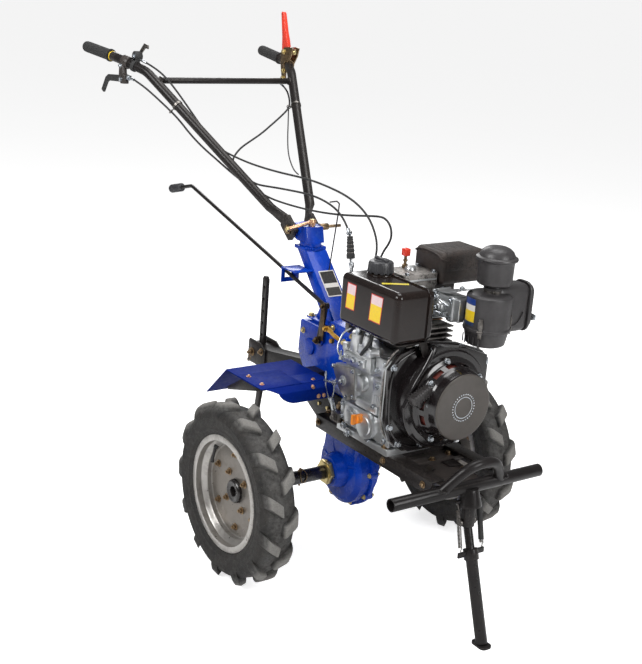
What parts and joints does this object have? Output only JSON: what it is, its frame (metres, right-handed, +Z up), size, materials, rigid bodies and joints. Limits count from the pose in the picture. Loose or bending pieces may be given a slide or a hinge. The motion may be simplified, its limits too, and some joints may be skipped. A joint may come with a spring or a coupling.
{
  "type": "walking tractor",
  "caption": "Two-wheel diesel walking tractor with a gear case, an engine on a rail frame, long tubular handlebars, mudguards and a folding front stand.",
  "frame": {"origin": "middle of the machine's length and width, on the ground that the tyres and the stand rest on", "axes": "+X forward to the engine and bumper bar, +Y to the machine's left, +Z up"},
  "size_m": [1.8272, 0.896, 1.514],
  "materials": {
    "bare_steel": "machined steel",
    "black_gloss": "gloss black paint",
    "black_heat_paint": "matt black heat paint",
    "black_paint": "semi-gloss black paint",
    "black_plastic": "satin black plastic",
    "blue_paint": "gloss royal blue paint",
    "cable_sheath": "black cable sheath",
    "cast_alloy": "raw die-cast aluminium",
    "copper_plate": "copper-coloured plating",
    "grip_rubber": "moulded black rubber",
    "orange_plastic": "orange plastic",
    "red_plastic": "glossy red plastic",
    "rim_steel": "silver-grey paint, slightly worn",
    "tyre": "matt black tyre rubber with dusty lugs",
    "yellow_zinc": "yellow zinc plating"
  },
  "bodies": {
    "chassis": {"air_cleaner": "black_gloss", "brake_cable": "cable_sheath", "cable_holders": "bare_steel", "clutch_cable": "cable_sheath", "clutch_housing": "cast_alloy", "clutch_link": "black_plastic", "crankcase": "cast_alloy", "cross_member": "black_paint", "cylinder": "cast_alloy", "cylinder_head": "cast_alloy", "decompression_lever": "red_plastic", "depth_stake": "black_paint", "engine_side_casting": "cast_alloy", "fan_shroud": "black_gloss", "frame_rails": "black_paint", "front_bumper": "black_paint", "fuel_cap": "black_plastic", "fuel_tank": "black_gloss", "gear_lever": "black_paint", "gearbox_final": "blue_paint", "gearbox_upper": "blue_paint", "handlebar_column": "blue_paint", "hitch_pin": "yellow_zinc", "intake_elbow": "cast_alloy", "lever_guide": "blue_paint", "mudguard_brackets": "black_paint", "mudguards": "blue_paint", "muffler": "black_heat_paint", "oil_cap": "orange_plastic", "pre_cleaner": "black_plastic", "rear_hitch": "black_paint", "recoil_starter": "black_gloss", "side_plates": "black_paint", "stand_socket": "black_paint", "stand_springs": "bare_steel", "starter_handle": "black_plastic", "stop_wire": "cable_sheath", "tank_bracket": "black_paint", "throttle_cable": "cable_sheath"},
    "wheelset": {"half_axle_left": "black_paint", "half_axle_right": "black_paint", "hex_collars": "yellow_zinc", "rim_left": "rim_steel", "rim_right": "rim_steel", "tyre_left": "tyre", "tyre_right": "tyre", "axle_shaft": "bare_steel"},
    "stand": {"stand_leg": "black_paint"},
    "swivel": {"swivel_head": "blue_paint", "swivel_bolt": "copper_plate"},
    "handlebar": {"brake_lever": "black_paint", "cable_clips": "black_paint", "clutch_bracket": "yellow_zinc", "clutch_lever": "red_plastic", "crossbar": "black_paint", "grips": "grip_rubber", "handlebar_left": "black_paint", "handlebar_right": "black_paint", "throttle_lever": "black_plastic", "tilt_bolt": "yellow_zinc"}
  },
  "joints": [
    {"name": "axle_spin", "type": "hinge", "parent": "chassis", "child": "wheelset", "pos_m": [0.25165, 0, 0.26], "axis": [0, 1, 0], "continuous": true},
    {"name": "stand_fold", "type": "hinge", "parent": "chassis", "child": "stand", "pos_m": [0.77565, 0, 0.314], "axis": [0, 1, 0], "range_deg": [0, 105], "deforming": ["stand_springs"]},
    {"name": "handlebar_swivel", "type": "hinge", "parent": "chassis", "child": "swivel", "pos_m": [-0.03135, 0, 0.872], "axis": [0, 0, 1], "range_deg": [-30, 30], "deforming": ["throttle_cable", "brake_cable", "clutch_cable", "stop_wire"]},
    {"name": "handlebar_tilt", "type": "hinge", "parent": "swivel", "child": "handlebar", "pos_m": [-0.08435, 0, 0.912], "axis": [0, 1, 0], "range_deg": [-20, 15], "deforming": ["throttle_cable", "brake_cable", "clutch_cable", "stop_wire"]}
  ]
}
